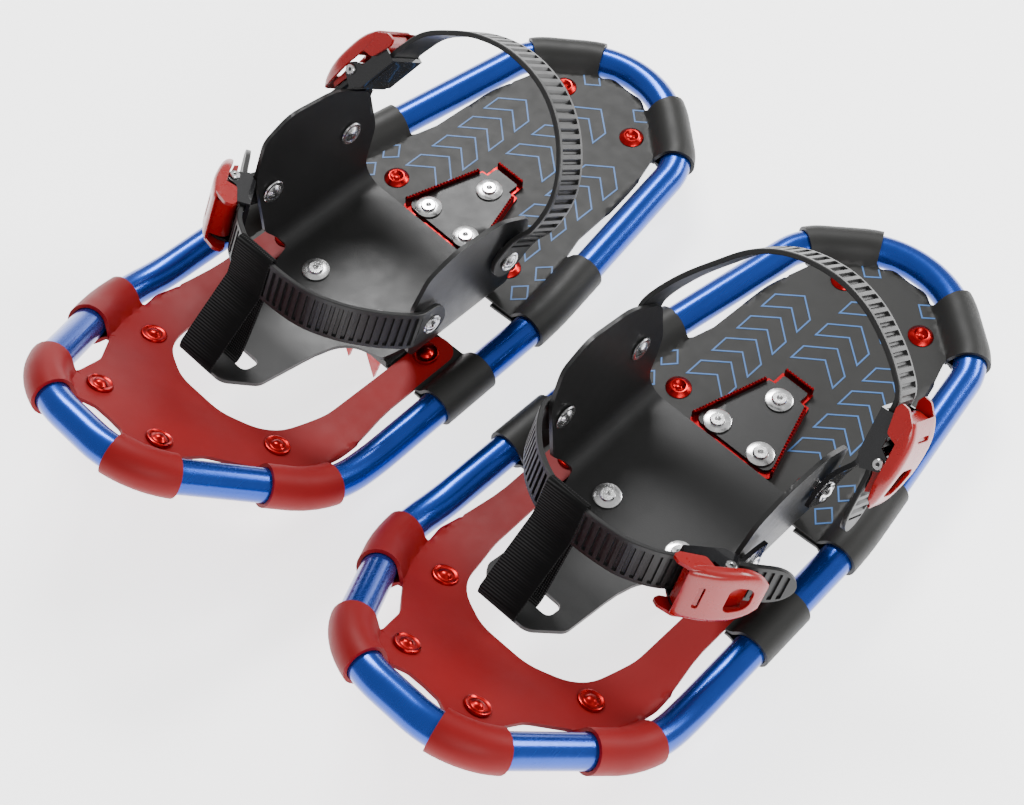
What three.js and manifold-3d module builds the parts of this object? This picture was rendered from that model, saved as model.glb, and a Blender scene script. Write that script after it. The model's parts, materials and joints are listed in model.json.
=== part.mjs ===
// A pair of youth snowshoes with two-strap ratchet bindings.
// Units are millimetres, +Z is up, the toes point along -Y and +X is the wearer's left.
// Each shoe is drawn about its own centre line, with z = 0 at the middle of the frame tube,
// and the pair is then placed so that the origin is at the bottom centre of its box.
import * as THREE from "three";
import { mergeVertices } from "three/addons/utils/BufferGeometryUtils.js";
import Module from "manifold-3d";

const wasm = await Module();
wasm.setup();

// ---- driving dimensions ----
const TUBE_RADIUS = 9.5;
const SHEET = 2;                 // thickness of the deck sheets
const GAP = 0.3;                 // clearance between pieces that touch
const WRAP_THICKNESS = 1.8;      // deck tabs folded round the tube
const TOE_BEND = { start: -136.4, radius: 111.3, angle: THREE.MathUtils.degToRad(34.1) };
const PIVOT_Y = -80;             // the binding turns about the band's centre
const BASE = { bottom: 4, thick: 2.5, fold: 45.5, foldRadius: 13 };
const WING_ANGLE = THREE.MathUtils.degToRad(84);
const TONGUE_CURL = { start: -105, radius: 126, angle: 0.27 };
const STRAP_HALF_WIDTH = 13;
const STRAP_THICKNESS = 3;
const STRAP_END_X = 66.5;          // strap centre line beside the wing rivets
const TOE_PIVOT = { y: -83, z: 46, tilt: THREE.MathUtils.degToRad(22) };
const HEEL_PIVOT = { y: -23, z: 48, tilt: THREE.MathUtils.degToRad(51.6) };
const TOOTH_DEPTH = 32;          // crampon tips below the tube centre
const PAIR_SPACING = 218.9;      // between the two centre lines
const PAIR_STAGGER = 10.2;
const LEFT_YAW = THREE.MathUtils.degToRad(1.24);

// ---- materials ----
const look = (color, roughness, metalness) => ({ color, roughness, metalness });
const BLUE_ALUMINIUM = look(0x1f55b5, 0.28, 0.9);
const BLACK_SHEET = look(0x33332f, 0.6, 0);
const RED_SHEET = look(0xb02528, 0.55, 0);
const BLACK_PLASTIC = look(0x202022, 0.45, 0);
const RED_PLASTIC = look(0xc41d1f, 0.3, 0);
const WEBBING = look(0x17170f, 0.9, 0);
const STEEL = look(0xc9c9c9, 0.3, 1);
const BLACK_STEEL = look(0x101012, 0.35, 0.8);
const RED_STEEL = look(0x9c1a22, 0.4, 0.6);

// ---- geometry helpers ----
const solid = (geometry) => {
  const bare = geometry.clone();
  bare.deleteAttribute("normal");
  bare.deleteAttribute("uv");
  const merged = mergeVertices(bare, 1e-4);
  const vertProperties = new Float32Array(merged.attributes.position.array);
  const triVerts = new Uint32Array(merged.index.array);
  return new wasm.Manifold(new wasm.Mesh({ numProp: 3, vertProperties, triVerts }));
};

const toGeometry = (body) => {
  const mesh = body.getMesh();
  const geometry = new THREE.BufferGeometry();
  geometry.setAttribute("position", new THREE.BufferAttribute(mesh.vertProperties, 3));
  geometry.setIndex(new THREE.BufferAttribute(mesh.triVerts, 1));
  geometry.computeVertexNormals();
  return geometry;
};

const block = (x0, x1, y0, y1, z0, z1) => {
  const box = new THREE.BoxGeometry(x1 - x0, y1 - y0, z1 - z0);
  return box.translate((x0 + x1) / 2, (y0 + y1) / 2, (z0 + z1) / 2);
};

// A line through corners [x, y, radius], with a round arc at each corner that has a radius.
const roundCorners = (corners, closed = false) => {
  const arcStep = THREE.MathUtils.degToRad(32);
  const count = corners.length;
  const points = [];
  corners.forEach(([x, y, radius = 0], index) => {
    const here = new THREE.Vector2(x, y);
    const isEnd = !closed && (index === 0 || index === count - 1);
    if (radius === 0 || isEnd) {
      points.push(here);
      return;
    }
    const before = corners[(index + count - 1) % count];
    const after = corners[(index + 1) % count];
    const back = new THREE.Vector2(before[0], before[1]).sub(here).normalize();
    const ahead = new THREE.Vector2(after[0], after[1]).sub(here).normalize();
    const half = Math.acos(THREE.MathUtils.clamp(back.dot(ahead), -1, 1)) / 2;
    const centre = here.clone().add(back.clone().add(ahead).setLength(radius / Math.sin(half)));
    const first = here.clone().addScaledVector(back, radius / Math.tan(half)).sub(centre);
    const last = here.clone().addScaledVector(ahead, radius / Math.tan(half)).sub(centre);
    const turn = Math.atan2(first.cross(last), first.dot(last));
    const steps = Math.max(1, Math.ceil(Math.abs(turn) / arcStep));
    for (let step = 0; step <= steps; step++) {
      points.push(first.clone().rotateAround(new THREE.Vector2(), (turn * step) / steps).add(centre));
    }
  });
  return points;
};

// The whole outline from its right-hand half, which starts and ends on the centre line.
const bothSides = (half) => {
  const mirrored = half.filter(([x]) => x > 0).map(([x, y, radius]) => [-x, y, radius]);
  return [...half, ...mirrored.reverse()];
};

const plate = (outline, bottom, thickness, holes = []) => {
  const shape = new THREE.Shape(outline);
  shape.holes = holes.map((hole) => new THREE.Path(hole));
  const geometry = new THREE.ExtrudeGeometry(shape, { depth: thickness, bevelEnabled: false });
  return geometry.translate(0, 0, bottom);
};

// Cuts every triangle along planes across one axis, so that a flat sheet can be bent.
const cutAcross = (geometry, axis, levels) => {
  let triangles = [];
  const { position } = (geometry.index ? geometry.toNonIndexed() : geometry).attributes;
  for (let index = 0; index < position.count; index += 3) {
    const corner = (step) => new THREE.Vector3().fromBufferAttribute(position, index + step);
    triangles.push([corner(0), corner(1), corner(2)]);
  }
  const tiny = 1e-5;
  const crossing = (a, b, level) => {
    const [low, high] = a[axis] < b[axis] ? [a, b] : [b, a];
    return low.clone().lerp(high, (level - low[axis]) / (high[axis] - low[axis]));
  };
  for (const level of levels) {
    const next = [];
    for (const triangle of triangles) {
      const sides = triangle.map((point) => {
        const distance = point[axis] - level;
        return Math.abs(distance) < tiny ? 0 : Math.sign(distance);
      });
      if (!(sides.includes(1) && sides.includes(-1))) {
        next.push(triangle);
        continue;
      }
      for (const keep of [1, -1]) {
        const polygon = [];
        triangle.forEach((point, corner) => {
          const following = (corner + 1) % 3;
          if (sides[corner] !== -keep) polygon.push(point);
          if (sides[corner] * sides[following] === -1) {
            polygon.push(crossing(point, triangle[following], level));
          }
        });
        for (let corner = 1; corner + 1 < polygon.length; corner++) {
          next.push([polygon[0], polygon[corner], polygon[corner + 1]]);
        }
      }
    }
    triangles = next;
  }
  return new THREE.BufferGeometry().setFromPoints(triangles.flat());
};

const reshape = (geometry, move) => {
  const position = geometry.attributes.position;
  const point = new THREE.Vector3();
  for (let index = 0; index < position.count; index++) {
    point.fromBufferAttribute(position, index);
    move(point);
    position.setXYZ(index, point.x, point.y, point.z);
  }
  return geometry;
};

// Rolls a flat run upward round an arc: returns how far along and how far up a point ends.
const curl = (run, height, radius, angle) => {
  const turn = Math.min(Math.max(run, 0) / radius, angle);
  const rest = Math.max(run - radius * angle, 0);
  const along = Math.min(run, 0) + (radius - height) * Math.sin(turn) + rest * Math.cos(turn);
  const up = radius - (radius - height) * Math.cos(turn) + rest * Math.sin(turn);
  return [along, up];
};

const range = (from, to, count) =>
  Array.from({ length: count + 1 }, (_, index) => from + ((to - from) * index) / count);

const bendToe = (point) => {
  const [along, up] = curl(TOE_BEND.start - point.y, point.z, TOE_BEND.radius, TOE_BEND.angle);
  point.y = TOE_BEND.start - along;
  point.z = up;
};

const toeLevels = range(TOE_BEND.start, TOE_BEND.start - TOE_BEND.radius * TOE_BEND.angle, 4);

const circle = (radius, sides) => {
  const centre = new THREE.Vector2();
  const corner = (index) => new THREE.Vector2(radius, 0).rotateAround(centre, (index * 2 * Math.PI) / sides);
  return Array.from({ length: sides }, (_, index) => corner(index));
};

const sweep = (points, section, steps) => {
  const extrudePath = new THREE.CatmullRomCurve3(points, false, "centripetal");
  return new THREE.ExtrudeGeometry(new THREE.Shape(section), { steps, bevelEnabled: false, extrudePath });
};

const mirrorX = (geometry) => {
  const copy = geometry.index ? geometry.toNonIndexed() : geometry.clone();
  const { array } = copy.scale(-1, 1, 1).attributes.position;
  for (let start = 0; start < array.length; start += 9) {
    for (let axis = 0; axis < 3; axis++) {
      const [second, third] = [start + 3 + axis, start + 6 + axis];
      [array[second], array[third]] = [array[third], array[second]];
    }
  }
  return copy;
};

// ---- frame ----
const framePlan = roundCorners([
  [0, -285], [38.5, -285, 46], [89, -181, 98], [85, -11, 250], [63.3, 129, 34], [20.7, 164.5, 57],
  [0, 164.5],
]);

// Centre line of the right half of the tube, evenly stepped along its length.
const frameLine = (() => {
  const line = [];
  framePlan.forEach((point, index) => {
    const next = framePlan[index + 1];
    const steps = next ? Math.max(1, Math.round(point.distanceTo(next) / 20)) : 1;
    for (let step = 0; step < steps; step++) {
      line.push(next ? point.clone().lerp(next, step / steps) : point.clone());
    }
  });
  return line;
})();

const inSpace = (plan) => {
  const point = new THREE.Vector3(plan.x, plan.y, 0);
  bendToe(point);
  return point;
};

const tubeAlongFrame = (radius) => {
  const half = sweep(frameLine.map(inSpace), circle(radius, 10), 20);
  return solid(half).add(solid(mirrorX(half)));
};

const frameTube = tubeAlongFrame(TUBE_RADIUS);
const tubeClearance = tubeAlongFrame(TUBE_RADIUS + GAP);
const wrapSkin = tubeAlongFrame(TUBE_RADIUS + GAP + WRAP_THICKNESS);

// A flat place beside the tube: where its centre line passes y, moved outward by an offset.
const besideTube = (y, offset = 0) => {
  const next = framePlan.findIndex((point) => point.y > y);
  const [before, after] = [framePlan[next - 1], framePlan[next]];
  const along = after.clone().sub(before).normalize();
  const place = before.clone().lerp(after, (y - before.y) / (after.y - before.y));
  return [place.x + along.y * offset, place.y - along.x * offset];
};

// The part of a skin round the tube between two distances, cut square to the tube.
const wrapPiece = (from, to) => {
  const reach = 22;
  const edges = [[from, -14], [from, reach], [to, reach], [to, -14]];
  const corners = edges.map(([y, offset]) => besideTube(y, offset));
  const slab = cutAcross(plate(roundCorners(corners, true), -16, 32), "y", toeLevels);
  return wrapSkin.intersect(solid(reshape(slab, bendToe)));
};

const wrapBothSides = (sheet, wraps) => {
  let body = sheet;
  for (const [from, to] of wraps) {
    const piece = wrapPiece(from, to);
    body = body.add(piece).add(solid(mirrorX(toGeometry(piece))));
  }
  return body.subtract(tubeClearance);
};

const rearDeck = () => {
  const outline = roundCorners(bothSides([
    [0, 151.5], [18, 152.5, 5], besideTube(157.5), besideTube(130.5), [53, 124, 3], [57.5, 91, 60],
    [60, 42, 8],
    besideTube(31.5), besideTube(-25), [0, -25],
  ]), true);
  return wrapBothSides(solid(plate(outline, -SHEET / 2, SHEET)), [[-25, 32], [130, 158]]);
};

const frontDeck = () => {
  const bottom = -0.2;
  const half = [
    [0, -264, 0], [16, -266, 5], besideTube(-282), besideTube(-262.5), [41, -243, 4], [43, -232, 14],
    [57, -208, 5],
    besideTube(-214), besideTube(-175.5), [77, -160, 12], [70.5, -120, 60], [70, -62, 9], [51, -62, 9],
    [50, -145, 40],
    [42, -181, 30], [16, -195, 30], [0, -195, 0],
  ];
  const outline = roundCorners(bothSides(half), true);
  const flat = cutAcross(plate(outline, bottom, SHEET), "y", toeLevels);
  return wrapBothSides(solid(reshape(flat, bendToe)), [[-214.5, -175], [-282.5, -262]]);
};

const pivotWrap = (side) => {
  const tab = solid(block(48.6, 87, PIVOT_Y - 18, PIVOT_Y + 18, -2.5, -0.5));
  const body = tab.add(wrapPiece(PIVOT_Y - 18, PIVOT_Y + 18)).subtract(tubeClearance);
  return side > 0 ? body : mirrorX(toGeometry(body));
};

// ---- heel plate ----
const heelOutline = (inset) => roundCorners(bothSides([
  [0, -13 + inset], [29.5 - inset, -13 + inset, 3], [14.4 - inset, 40], [11 - inset, 40],
  [11 - inset, 48.4 - inset], [0, 48.4 - inset],
]), true);

const sawTooth = (length, low, high) => {
  const pitch = 4;
  const count = Math.floor(length / pitch);
  const edge = [];
  for (let index = 0; index < count; index++) {
    edge.push(new THREE.Vector2((length * index) / count, high - 1.2));
    edge.push(new THREE.Vector2((length * (index + 0.5)) / count, high));
  }
  return [new THREE.Vector2(0, low), ...edge, new THREE.Vector2(length, high - 1.2),
    new THREE.Vector2(length, low)];
};

// An upright serrated strip on the plan line from a to b, thickened to its right-hand side.
const serratedStrip = (ax, ay, bx, by, low, high) => {
  const geometry = plate(sawTooth(Math.hypot(bx - ax, by - ay), low, high), 0, 1.5);
  geometry.rotateX(Math.PI / 2);
  geometry.rotateZ(Math.atan2(by - ay, bx - ax));
  return geometry.translate(ax, ay, 0);
};

const heelPlate = () => {
  const bottom = SHEET / 2 + GAP;
  const top = bottom + 6.5;
  return solid(plate(heelOutline(0), bottom, 1.2))
    .add(solid(serratedStrip(14.6, 38, 29.4, -11, bottom, top)))
    .add(solid(serratedStrip(-29.4, -11, -14.6, 38, bottom, top)))
    .add(solid(serratedStrip(10, 48.4, -10, 48.4, bottom, top)));
};

const HEEL_PAD = { bottom: 2.8, thick: 1.5 };

const heelPad = () => {
  const top = HEEL_PAD.bottom + HEEL_PAD.thick;
  const sheet = solid(plate(heelOutline(2.4), HEEL_PAD.bottom, HEEL_PAD.thick));
  return drill(drill(sheet, HEEL_RIVETS, SEAT.radius, top - SEAT.depth, top + 1), HEEL_RIVETS,
    RIVET_HOLE, 0, 10);
};

const heelCrampon = () => {
  const top = -SHEET / 2 - GAP;
  const flange = (x) => {
    const teeth = [
      [-14, top], [40, top], [38, -11], [32, -TOOTH_DEPTH], [27, -13], [3, -13], [-3, -TOOTH_DEPTH],
      [-9, -11],
    ].map(([y, z]) => new THREE.Vector2(y, z));
    const sheet = plate(teeth, -0.9, 1.8);
    sheet.rotateX(Math.PI / 2);
    return solid(sheet.rotateZ(Math.PI / 2).translate(x, 0, 0));
  };
  return solid(block(-24, 24, -14, 40, top - 1.8, top)).add(flange(-23)).add(flange(23));
};

// A flanged rivet standing on z = 0: wide washer, domed head and a shank reaching down.
const rivet = (washer, head, shankLength) => {
  const profile = [
    [0, -shankLength], [2.2, -shankLength], [2.2, 0], [washer, 0], [washer, 1], [head, 1.2],
    [head * 0.7, 3], [0, 3],
  ].map(([radius, height]) => new THREE.Vector2(radius, height));
  return new THREE.LatheGeometry(profile, 8).rotateX(Math.PI / 2);
};

const drill = (body, places, radius, low, high) => {
  let drilled = body;
  for (const [x, y] of places) {
    const bit = new THREE.CylinderGeometry(radius, radius, high - low, 8).rotateX(Math.PI / 2);
    drilled = drilled.subtract(solid(bit.translate(x, y, (low + high) / 2)));
  }
  return drilled;
};

const HEEL_RIVETS = [[-15.4, -4], [15.4, -4], [0, 31]];
const BASE_RIVETS = [[-25.5, -84], [25.5, -84]];
const RIVET_HOLE = 2.2 + GAP;
const WASHER_RADIUS = 8;
const SEAT = { radius: WASHER_RADIUS + GAP + 0.3, depth: 0.4 };   // shallow seat under each washer

// ---- binding base ----
const foldBase = (point) => {
  const height = point.z - (BASE.bottom + BASE.thick / 2);
  const [across, up] = curl(Math.abs(point.x) - BASE.fold, height, BASE.foldRadius, WING_ANGLE);
  const [along, rise] = curl(TONGUE_CURL.start - point.y, up, TONGUE_CURL.radius, TONGUE_CURL.angle);
  point.x = Math.sign(point.x) * (BASE.fold + across);
  point.y = TONGUE_CURL.start - along;
  point.z = rise + BASE.bottom + BASE.thick / 2;
};

// Flat distance from the fold to a point of the wing at a given height.
const wingRun = (z) => {
  const arcTop = BASE.bottom + BASE.thick / 2 + BASE.foldRadius * (1 - Math.cos(WING_ANGLE));
  return BASE.fold + BASE.foldRadius * WING_ANGLE + (z - arcTop) / Math.sin(WING_ANGLE);
};

const TONGUE = {
  centre: -10, half: 28, tip: -178, slotFrom: -31, slotTo: 11, slotFront: -167, slotBack: -155,
};

// Bends a flat piece of the base; neighbouring pieces overlap by OVERLAP so that they join.
const OVERLAP = 1;
const basePiece = (corners, { holes = [], axis = "x", levels = [] } = {}) => {
  const flat = plate(roundCorners(corners, true), BASE.bottom, BASE.thick, holes);
  return solid(reshape(cutAcross(flat, axis, levels), foldBase));
};

const baseWing = () => {
  const { fold, foldRadius } = BASE;
  const foldEnd = fold + foldRadius * WING_ANGLE;
  const corner = basePiece([
    [fold - OVERLAP, -15], [foldEnd + OVERLAP, -15], [foldEnd + OVERLAP, -93], [fold + 12, -86],
    [fold + 2.5, -84],
    [fold + 2.5, -100], [fold - OVERLAP, -100],
  ], { levels: range(fold, foldEnd, 4) });
  const holes = [TOE_PIVOT, HEEL_PIVOT].map((pivot) => circle(RIVET_HOLE + 0.6, 8).map((point) =>
    new THREE.Vector2(point.x + wingRun(pivot.z), point.y + pivot.y)));
  const upright = basePiece([
    [foldEnd, -15], [wingRun(40), -4, 20], [wingRun(68), -5, 9], [wingRun(84), -28, 30],
    [wingRun(89), -62, 30], [wingRun(82), -82, 12], [wingRun(62), -92.5, 14], [foldEnd, -92.5],
  ], { holes });
  return corner.add(upright);
};

const baseTongue = () => {
  const { centre, half, tip, slotFrom, slotTo, slotFront, slotBack } = TONGUE;
  const { start, radius, angle } = TONGUE_CURL;
  const curlEnd = start - radius * angle;
  const root = basePiece([
    [centre + half + 6, start + OVERLAP], [centre + half, -125, 60], [centre + half, curlEnd - OVERLAP],
    [centre - half, curlEnd - OVERLAP], [centre - half, -125, 60], [centre - half - 6, start + OVERLAP],
  ], { axis: "y", levels: range(start, curlEnd, 3) });
  const slot = roundCorners([
    [slotFrom, slotFront, 5], [slotTo, slotFront, 5], [slotTo, slotBack, 5], [slotFrom, slotBack, 5],
  ], true);
  const end = basePiece([
    [centre + half, curlEnd], [centre + half, -166, 8], [centre + 14, tip, 10], [centre - 14, tip, 10],
    [centre - half, -166, 8], [centre - half, curlEnd],
  ], { holes: [slot] });
  return root.add(end);
};

const bindingBase = () => {
  const floor = plate(roundCorners([
    [-BASE.fold, -15], [-BASE.fold, -100], [-44, TONGUE_CURL.start], [24, TONGUE_CURL.start],
    [BASE.fold, -100], [BASE.fold, -15],
  ], true), BASE.bottom, BASE.thick);
  const wing = baseWing();
  const body = solid(floor).add(wing).add(solid(mirrorX(toGeometry(wing)))).add(baseTongue());
  const top = BASE.bottom + BASE.thick;
  return drill(drill(body, BASE_RIVETS, SEAT.radius, top - SEAT.depth, top + 1), BASE_RIVETS, RIVET_HOLE,
    0, 10);
};

const pivotBand = () => drill(
  solid(block(-47.6, 47.6, PIVOT_Y - 18, PIVOT_Y + 18, -2.5, BASE.bottom - GAP)), BASE_RIVETS,
    RIVET_HOLE, -5, 5);

const toeCrampon = () => {
  const top = -2.5 - GAP;
  const claw = (y, teeth) => {
    const edge = [[-40, top], [40, top], [40, -9]];
    for (const x of teeth) edge.push([x + 6, -11], [x, -TOOTH_DEPTH], [x - 6, -11]);
    edge.push([-40, -9]);
    const sheet = plate(edge.map(([x, z]) => new THREE.Vector2(x, z)), -0.9, 1.8);
    return solid(sheet.rotateX(Math.PI / 2).translate(0, y, 0));
  };
  const body = solid(block(-40, 40, PIVOT_Y - 14, PIVOT_Y + 14, top - 1.8, top))
    .add(claw(PIVOT_Y - 13.1, [32, 11, -11, -32]))
    .add(claw(PIVOT_Y + 13.1, [32, -32]));
  return drill(body, BASE_RIVETS, RIVET_HOLE, -10, 0);
};

// ---- straps: drawn in their own plane (x across, y outward from the pivot axis) ----
// The heel loop leans sideways as it rises: how far, and how fast, at a distance from its pivot.
const HEEL_LEAN = { most: 13, height: 72 };
const leanTurn = (distance) => Math.PI * THREE.MathUtils.clamp(distance / HEEL_LEAN.height, 0, 1);
const lean = (distance) => (HEEL_LEAN.most / 2) * (1 - Math.cos(leanTurn(distance)));
const leanRate = (HEEL_LEAN.most * Math.PI) / (2 * HEEL_LEAN.height);
const leanSlope = (distance) => leanRate * Math.sin(leanTurn(distance));

// Each buckle: its lever's axle, the way to its second axle and how far, and its lever's size.
const TOE_BUCKLE = {
  x: 56.3, y: 41.2, along: new THREE.Vector2(0.631, -0.776), second: 18, reach: 41, hump: 10.5,
    leans: false,
};
const HEEL_BUCKLE = {
  x: 73.1, y: 56, along: new THREE.Vector2(0.264, -0.965), second: 21.8, reach: 47, hump: 11.5, leans: true,
};

// A place beside the lever's axle: along the strap towards the wing, and outward from it.
const buckleFrame = (buckle, side) => {
  const { x, y, along: direction, leans } = buckle;
  const axle = new THREE.Vector2(side * x + (leans ? lean(y) : 0), y);
  const way = new THREE.Vector2(side * direction.x + (leans ? leanSlope(y) * direction.y : 0), direction.y);
  way.normalize();
  const out = new THREE.Vector2(-way.y, way.x).multiplyScalar(side);
  return (along, outward) => axle.clone().addScaledVector(way, along).addScaledVector(out, outward);
};

// A strip of even thickness along a smooth line, as an outline.
const ribbon = (points, thickness, steps) => {
  const curve = new THREE.SplineCurve(points);
  const left = [];
  const right = [];
  for (const t of range(0, 1, steps)) {
    const point = curve.getPoint(t);
    const across = curve.getTangent(t).rotateAround(new THREE.Vector2(), Math.PI / 2);
    left.push(point.clone().addScaledVector(across, thickness / 2));
    right.unshift(point.clone().addScaledVector(across, -thickness / 2));
  }
  return [...left, ...right];
};

const STRAP_OFFSET = -8;         // ladder strap centre below the lever axle
const LINK_OFFSET = -11.2;        // strap that ties the buckle to the wing

const TOE_LOOP = [[66.5, -11], [66.5, 0], [67.6, 12], [63.4, 22], [55, 34], [42, 47], [24, 56.8],
  [0, 59.5]];
const HEEL_LOOP = [[66.5, -11], [66.5, 0], [68.3, 15], [72, 28], [68, 48], [57.5, 67], [43, 84],
  [24, 95], [0, 99]];

const loopPoint = (leans, side) => ([x, y]) => new THREE.Vector2(side * x + (leans ? lean(y) : 0), y);

// The ladder strap: from the plain wing round to the buckle, through it, and out as a tail.
const ladderLine = (loop, buckle, side, farPoints, tail) => {
  const place = buckleFrame(buckle, side);
  const plainHalf = loop.map(loopPoint(buckle.leans, -side));
  const farHalf = farPoints.map(loopPoint(buckle.leans, side));
  const through = [-12, 2].map((along) => place(along, STRAP_OFFSET));
  return [...plainHalf, ...farHalf, ...through, ...tail.map(([along, outward]) => place(along, outward))];
};

const endHole = (pivotX, leans) => {
  const bit = new THREE.CylinderGeometry(RIVET_HOLE, RIVET_HOLE, 20, 8).rotateZ(Math.PI / 2);
  return solid(bit.translate(pivotX, 0, 0));
};

const ladderStrap = (line, side, steps) => {
  const strip = plate(ribbon(line, STRAP_THICKNESS, steps), -STRAP_HALF_WIDTH + 1,
    2 * STRAP_HALF_WIDTH - 2);
  return solid(strip).subtract(endHole(-side * STRAP_END_X));
};

const FLOOR = { bottom: -12.3, top: -10.2, back: -4.8 };

const wallOutline = (second) => [
  [FLOOR.back, FLOOR.bottom], [second, FLOOR.bottom], [second + 7, -8], [second + 4, 1.5], [second, 4.4],
  [second - 4.5, 2.2], [second - 8, -2.5], [6.5, -2.5], [4.6, 2.6], [1.5, 4.8], [-2.8, 4], [FLOOR.back, 0],
];

const AXLE = { radius: 2, hole: 2.35 };

const rodAcross = (centre, radius, half) =>
  new THREE.CylinderGeometry(radius, radius, 2 * half, 10)
    .rotateX(Math.PI / 2)
    .translate(centre.x, centre.y, 0);

const buckleBody = (buckle, side, pivotPoints) => {
  const place = buckleFrame(buckle, side);
  const { second } = buckle;
  const wall = wallOutline(second).map(([along, outward]) => place(along, outward));
  const walls = [[12.8, 14.3], [-14.3, -12.8]].map(([low, high]) => solid(plate(wall, low, high - low)));
  const linkLine = [
    ...pivotPoints.map(loopPoint(buckle.leans, side)),
    place(second, LINK_OFFSET),
    place(FLOOR.back, LINK_OFFSET),
  ];
  const link = solid(plate(ribbon(linkLine, 2.6, 14), -11, 22));
  const { bottom, top, back } = FLOOR;
  const floorCorners = [[back, bottom], [second, bottom], [second, top], [back, top]];
  const floorOutline = floorCorners.map(([along, outward]) => place(along, outward));
  const floor = solid(plate(floorOutline, -13, 26));
  const pins = [0, second].map((along) => solid(rodAcross(place(along, 0), AXLE.radius, 15.5)));
  let body = floor.add(link);
  for (const piece of [...walls, ...pins]) body = body.add(piece);
  return body.subtract(endHole(side * STRAP_END_X));
};

const leverBody = (buckle, side) => {
  const place = buckleFrame(buckle, side);
  const at = (pairs) => pairs.map(([along, outward]) => place(along, outward));
  const { reach, hump } = buckle;
  const shell = at([
    [-12.5, -3], [-11.5, 1.5], [-4.5, 7.4], [3, hump - 0.7], [12, hump], [0.55 * reach, hump - 1],
    [reach - 6, 7.2],
    [reach, 4.8], [reach - 1.5, 2.6], [0.68 * reach, 2.4], [0.42 * reach, 3.2], [9, 3.2], [5, -3], [-9, -5],
  ]);
  const inside = at([
    [-14, -8], [-14, 12], [-5.5, 12], [-4.6, 5.2], [3, hump - 2.9], [12, hump - 2.2],
    [0.55 * reach, hump - 3.2],
    [reach - 6, 5], [reach - 6, -8],
  ]);
  const neck = at([[-4.5, 0], [-4.2, 6.2], [4, hump - 2], [4.5, 0]]);
  const windowEnds = [0.45 * reach, reach - 8];
  const window = at([[windowEnds[0], 0], [windowEnds[0], 25], [windowEnds[1], 25], [windowEnds[1], 0]]);
  const hub = place(0, 0);
  return solid(plate(shell, -16.8, 33.6))
    .subtract(solid(plate(inside, -14.7, 29.4)))
    .subtract(solid(plate(window, -9.5, 19)))
    .add(solid(plate(neck, -11.5, 23)))
    .add(solid(rodAcross(hub, 5.9, 11.5)))
    .subtract(solid(rodAcross(hub, AXLE.hole, 20)));
};

const releaseBody = (buckle, side) => {
  const place = buckleFrame(buckle, side);
  const { second, reach } = buckle;
  const tip = reach - 9;
  const tab = [[second - 2, 3.4], [tip, 1.6], [tip + 1, -0.8], [second + 8, -1], [second + 4, -2.2],
    [second - 2, -3]];
  const hub = place(second, 0);
  return solid(plate(tab.map(([along, outward]) => place(along, outward)), -11.5, 23))
    .add(solid(rodAcross(hub, 4, 11.5)))
    .subtract(solid(rodAcross(hub, AXLE.hole, 20)));
};

// A strap rivet through the wing, its axis along x: domed head inside, washer outside.
const wingRivet = (side) => {
  const inside = 56.8;
  const profile = [
    [0, inside], [6.2, inside + 1], [6.2, inside + 2.6], [2.2, inside + 2.6], [2.2, 69.2], [6.2, 69.2],
    [4, 71.2], [0, 71.2],
  ].map(([radius, height]) => new THREE.Vector2(radius, height));
  const geometry = new THREE.LatheGeometry(profile, 8).rotateZ(-Math.PI / 2);
  return side > 0 ? geometry : mirrorX(geometry);
};

// ---- webbing that ties the toe strap to the tongue ----
const WEBBING_HALF = 13;
const WEBBING_X = -14;

const webbingLower = () => {
  const line = [[-143.5, 49], [-178.6, 25.5], [-180.6, 21.5], [-178, 18.2], [-166, 14.2],
    [-161.5, 13.9], [-158, 17], [-140, 44]];
  const outline = ribbon(line.map(([y, z]) => new THREE.Vector2(y, z)), 1.5, 20);
  const flat = plate(outline, -WEBBING_HALF, 2 * WEBBING_HALF);
  return flat.rotateX(Math.PI / 2).rotateZ(Math.PI / 2).translate(WEBBING_X - 3, 0, 0);
};

// Sleeve of webbing round the toe strap, in the strap's plane coordinates.
const webbingUpper = () => {
  const middle = 58.4;
  const cover = (grow) => block(
    WEBBING_X - WEBBING_HALF, WEBBING_X + WEBBING_HALF, middle - 4.6 - grow, middle + 3.2 + grow,
    -STRAP_HALF_WIDTH + 0.6 - GAP - grow, STRAP_HALF_WIDTH - 0.6 + GAP + grow);
  const hole = block(
    WEBBING_X - 2 * WEBBING_HALF, WEBBING_X + 2 * WEBBING_HALF, middle - 4.6, middle + 3.2,
    -STRAP_HALF_WIDTH + 0.6 - GAP, STRAP_HALF_WIDTH - 0.6 + GAP);
  return solid(cover(1.5)).subtract(solid(hole));
};

// ---- assembly ----
const addNode = (parent, name, shape, finish) => {
  const geometry = shape.isBufferGeometry ? shape : toGeometry(shape);
  const mesh = new THREE.Mesh(geometry, new THREE.MeshStandardMaterial(finish));
  mesh.name = name;
  parent.add(mesh);
  return mesh;
};

const strapGroup = (parent, pivot, pointsForward) => {
  const group = new THREE.Group();
  group.position.set(0, pivot.y, pivot.z);
  group.rotation.x = pointsForward ? Math.PI - pivot.tilt : pivot.tilt;
  parent.add(group);
  return group;
};

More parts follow.
